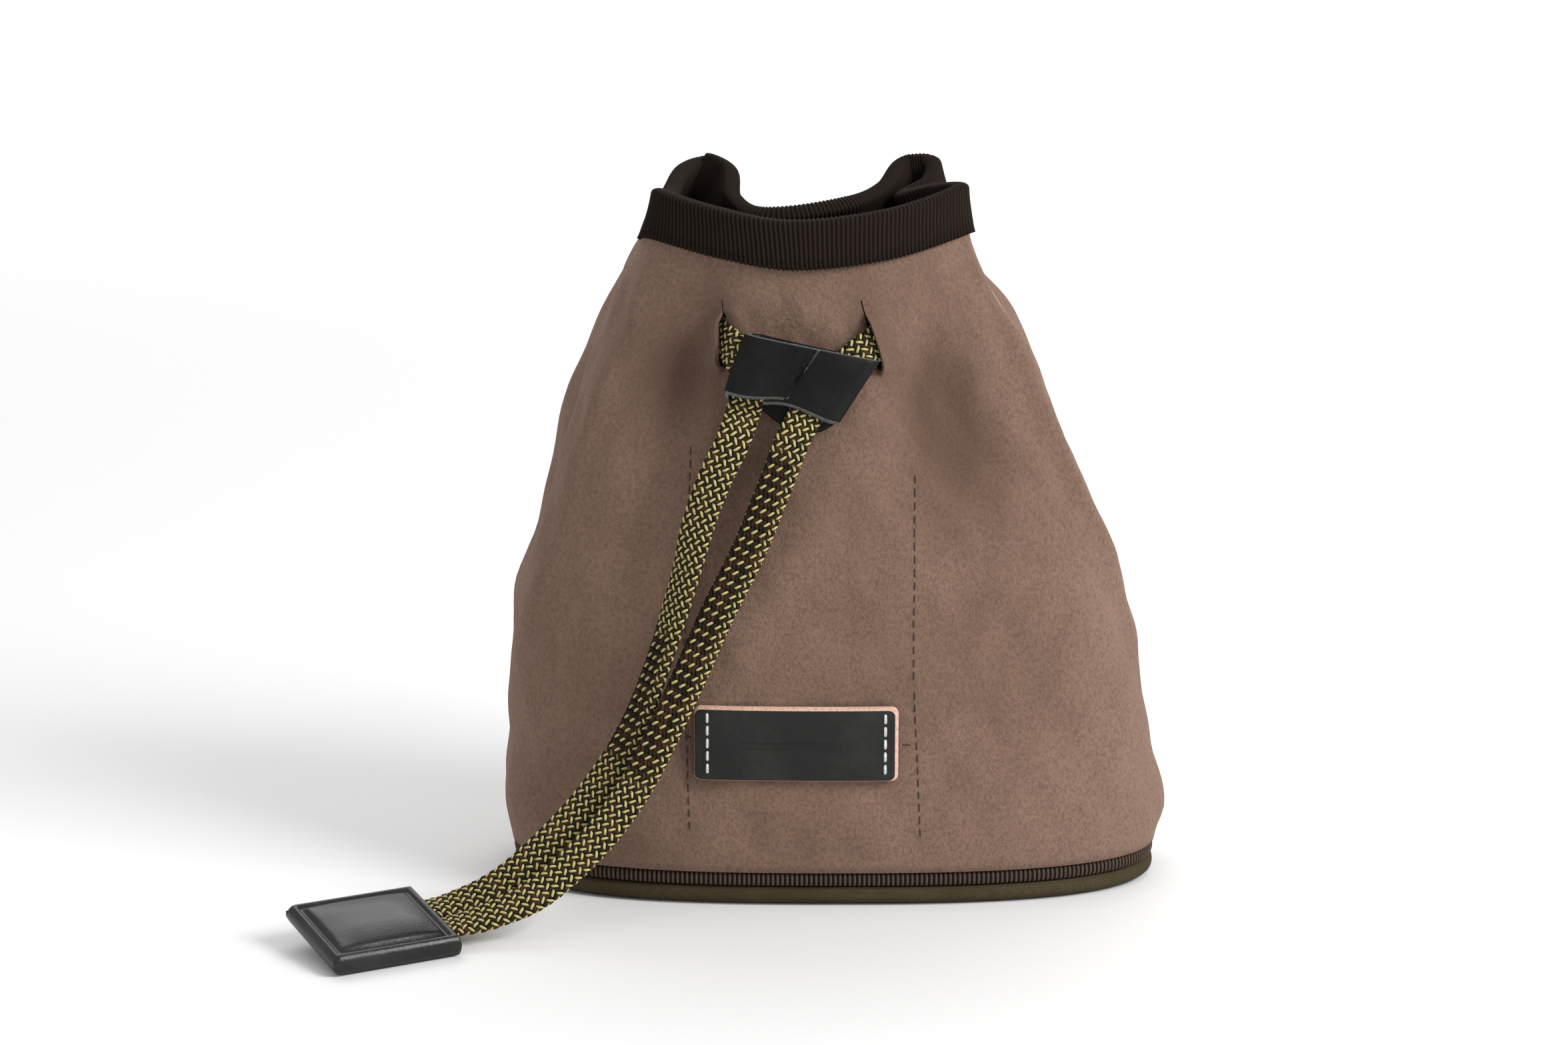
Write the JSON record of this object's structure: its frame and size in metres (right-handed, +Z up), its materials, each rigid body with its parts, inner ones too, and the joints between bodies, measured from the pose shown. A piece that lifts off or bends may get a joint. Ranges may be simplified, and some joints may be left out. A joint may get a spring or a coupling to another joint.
{
  "type": "drawstring pouch",
  "caption": "Standing suede drawstring pouch with a gathered bound mouth, padded base, leather slider and flat braided cord ending in a leather tab.",
  "frame": {"origin": "middle of the underside of the base, on the surface that the pouch stands on, without the loose cord", "axes": "+X to the right seen from the front, -Y out of the front where the cord hangs, +Z up"},
  "size_m": [0.2115, 0.1338, 0.1772],
  "materials": {
    "suede": "napped brown suede",
    "ribbed_tape": "black ribbed tape",
    "seam_tape": "dark brown ribbed tape",
    "base_cloth": "olive brown cloth",
    "leather": "smooth black leather",
    "braid": "dark brown and yellow-green braid"
  },
  "bodies": {
    "root": {"outer_shell": "suede", "mouth_binding": "ribbed_tape", "base_piping": "seam_tape", "base_panel": "base_cloth", "label_patch": "leather", "cord_slider": "leather", "end_tab": "leather", "cord_left": "braid", "cord_right": "braid", "cord_ring": "braid"}
  },
  "joints": []
}
